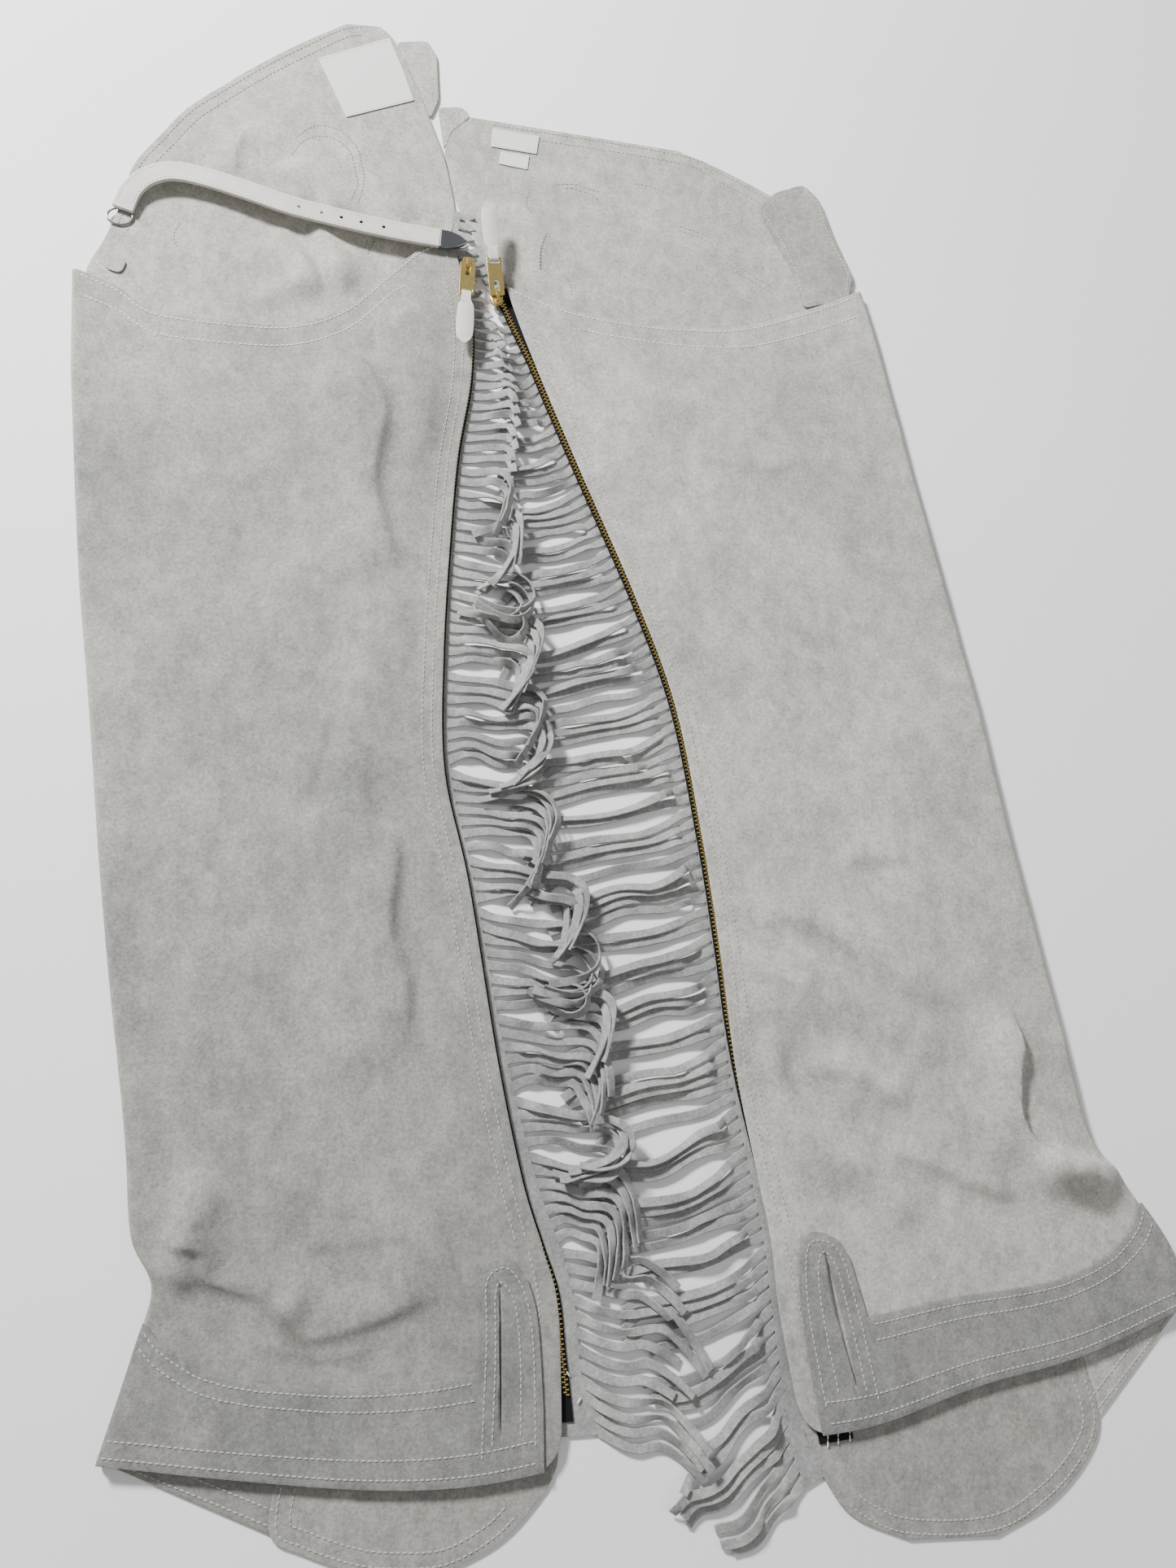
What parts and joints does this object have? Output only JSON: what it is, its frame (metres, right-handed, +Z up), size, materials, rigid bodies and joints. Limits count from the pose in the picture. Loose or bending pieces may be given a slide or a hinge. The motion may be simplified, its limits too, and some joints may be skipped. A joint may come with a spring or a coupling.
{
  "type": "leather chaps",
  "caption": "Light grey suede riding chaps laid flat on their front, with zipped legs, cut fringe, hem bands and a waist strap.",
  "frame": {"origin": "middle of the bounding box in plan, on the surface the chaps lie on", "axes": "+Z up from the surface, +Y along the legs towards the waist, +X across both legs"},
  "size_m": [0.764, 1.133, 0.0223],
  "materials": {
    "suede": "matt suede nap",
    "suede_inside": "matt suede, inner side",
    "strap_leather": "smooth matt leather",
    "black_tape": "woven tape",
    "gold": "polished",
    "steel": "dark polished",
    "white_cloth": "woven label"
  },
  "bodies": {
    "chaps": {"front_panel_left": "suede_inside", "back_panel_left": "suede", "hem_band_left": "suede", "zip_left": "black_tape", "fringe_left": "suede", "slider_left": "gold", "front_panel_right": "suede_inside", "back_panel_right": "suede", "hem_band_right": "suede", "zip_right": "black_tape", "fringe_right": "suede", "slider_right": "gold", "strap": "strap_leather", "strap_tip": "steel", "strap_ring": "steel", "waist_tab_left": "suede", "waist_tab_right": "suede", "front_tab_right": "suede", "care_label": "white_cloth", "name_label": "white_cloth", "size_label": "white_cloth", "loop_tab": "suede"},
    "pull_left": {"pull_tab_left": "gold", "leather_pull_left": "strap_leather"},
    "pull_right": {"pull_tab_right": "gold", "leather_pull_right": "strap_leather"}
  },
  "joints": [
    {"name": "pull_left_hinge", "type": "hinge", "parent": "chaps", "child": "pull_left", "pos_m": [-0.0955, 0.3415, 0.0109], "axis": [-0.9976, 0.0698, 0], "range_deg": [0, 90]},
    {"name": "pull_right_hinge", "type": "hinge", "parent": "chaps", "child": "pull_right", "pos_m": [-0.0735, 0.3165, 0.0092], "axis": [0.9962, 0.0872, 0], "range_deg": [0, 140]}
  ]
}
